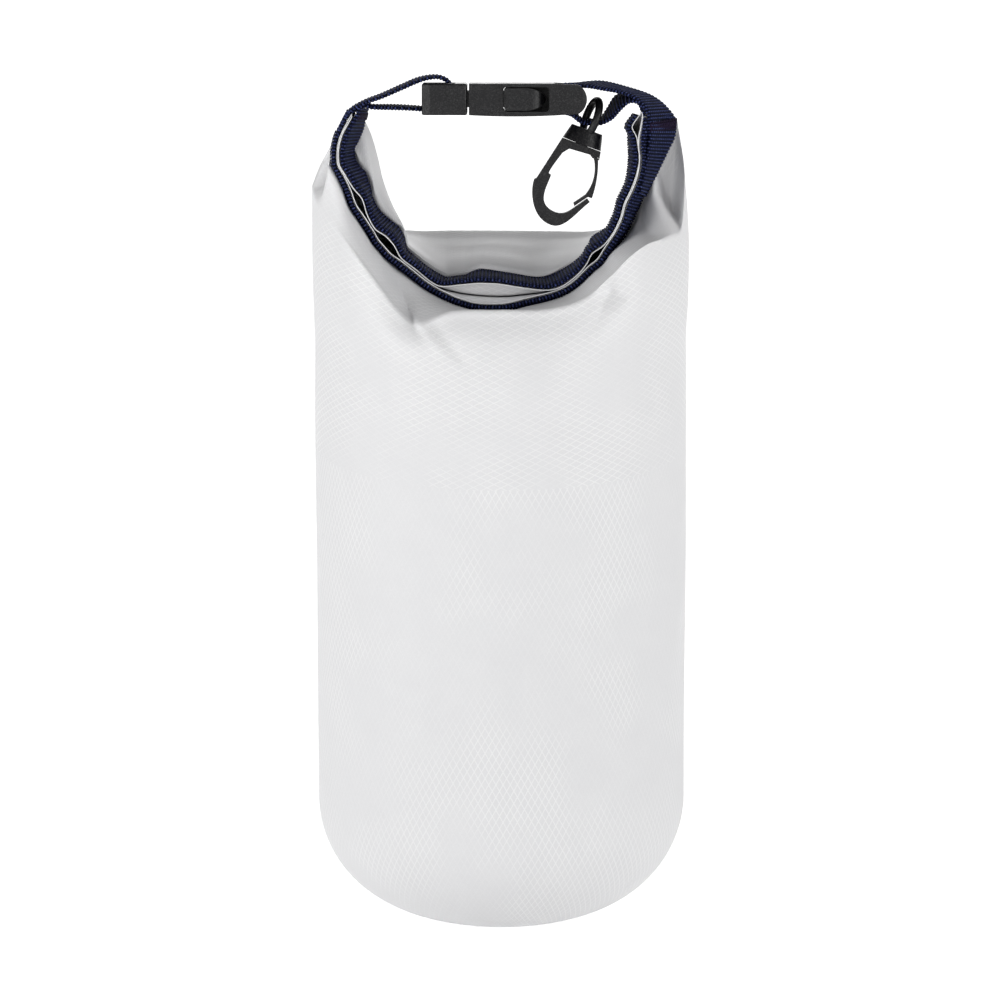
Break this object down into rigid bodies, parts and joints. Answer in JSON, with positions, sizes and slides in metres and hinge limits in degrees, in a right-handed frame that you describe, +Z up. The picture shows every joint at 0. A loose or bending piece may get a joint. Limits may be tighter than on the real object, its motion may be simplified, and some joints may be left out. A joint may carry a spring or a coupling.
{
  "type": "roll-top dry bag",
  "caption": "Small cylindrical roll-top dry bag, its collar folded forward and its webbing mouth buckled into a carry loop, with a swivel snap hook on the strap.",
  "frame": {"origin": "middle of the base, on the surface the bag stands on", "axes": "+Z up along the bag, -Y the front with the folded mouth, +X to the viewer's right"},
  "size_m": [0.1261, 0.126, 0.2912],
  "materials": {
    "body_fabric": "coated ripstop, matte",
    "collar_fabric": "coated ripstop, matte",
    "seam_tape": "satin",
    "webbing": "ribbed weave",
    "thread": "dense stitching",
    "stiffener": "matte",
    "plastic": "fine spark texture"
  },
  "bodies": {
    "bag": {"body_panel": "body_fabric", "collar_panel": "collar_fabric", "base_disc": "body_fabric", "base_seam_tape": "seam_tape", "collar_seam_tape": "seam_tape", "body_upright_tape": "seam_tape", "collar_upright_tape": "seam_tape", "mouth_stiffener": "stiffener", "mouth_tape_outer": "webbing", "mouth_tape_inner": "webbing", "bartack_left": "thread", "bartack_right": "thread", "male_loop_strap": "webbing", "female_loop_strap": "webbing", "buckle_male": "plastic", "buckle_female": "plastic"},
    "front_prong": {"prong_front": "plastic"},
    "rear_prong": {"prong_rear": "plastic"},
    "eye": {"swivel_eye": "plastic"},
    "hook": {"hook_body": "plastic"},
    "gate": {"hook_gate": "plastic"}
  },
  "joints": [
    {"name": "prong_front_press", "type": "hinge", "parent": "bag", "child": "front_prong", "pos_m": [-0.0112, -0.01842, 0.28496], "axis": [0, 0.1822, 0.9833], "range_deg": [0, 11], "stiffness_Nm_per_rad": 0.05},
    {"name": "prong_rear_press", "type": "hinge", "parent": "bag", "child": "rear_prong", "pos_m": [-0.0112, 0.00163, 0.28124], "axis": [0, -0.1822, -0.9833], "range_deg": [0, 11], "stiffness_Nm_per_rad": 0.05},
    {"name": "eye_swing", "type": "hinge", "parent": "bag", "child": "eye", "pos_m": [0.03, -0.00958, 0.27671], "axis": [0, -0.9833, 0.1822], "range_deg": [-12, 3]},
    {"name": "hook_swivel", "type": "hinge", "parent": "eye", "child": "hook", "pos_m": [0.03, -0.00958, 0.27671], "axis": [0.3469, 0.1709, 0.9222], "continuous": true},
    {"name": "gate_press", "type": "hinge", "parent": "hook", "child": "gate", "pos_m": [0.03158, -0.01206, 0.26334], "axis": [0, 0.9833, -0.1822], "range_deg": [0, 20], "stiffness_Nm_per_rad": 0.01}
  ]
}
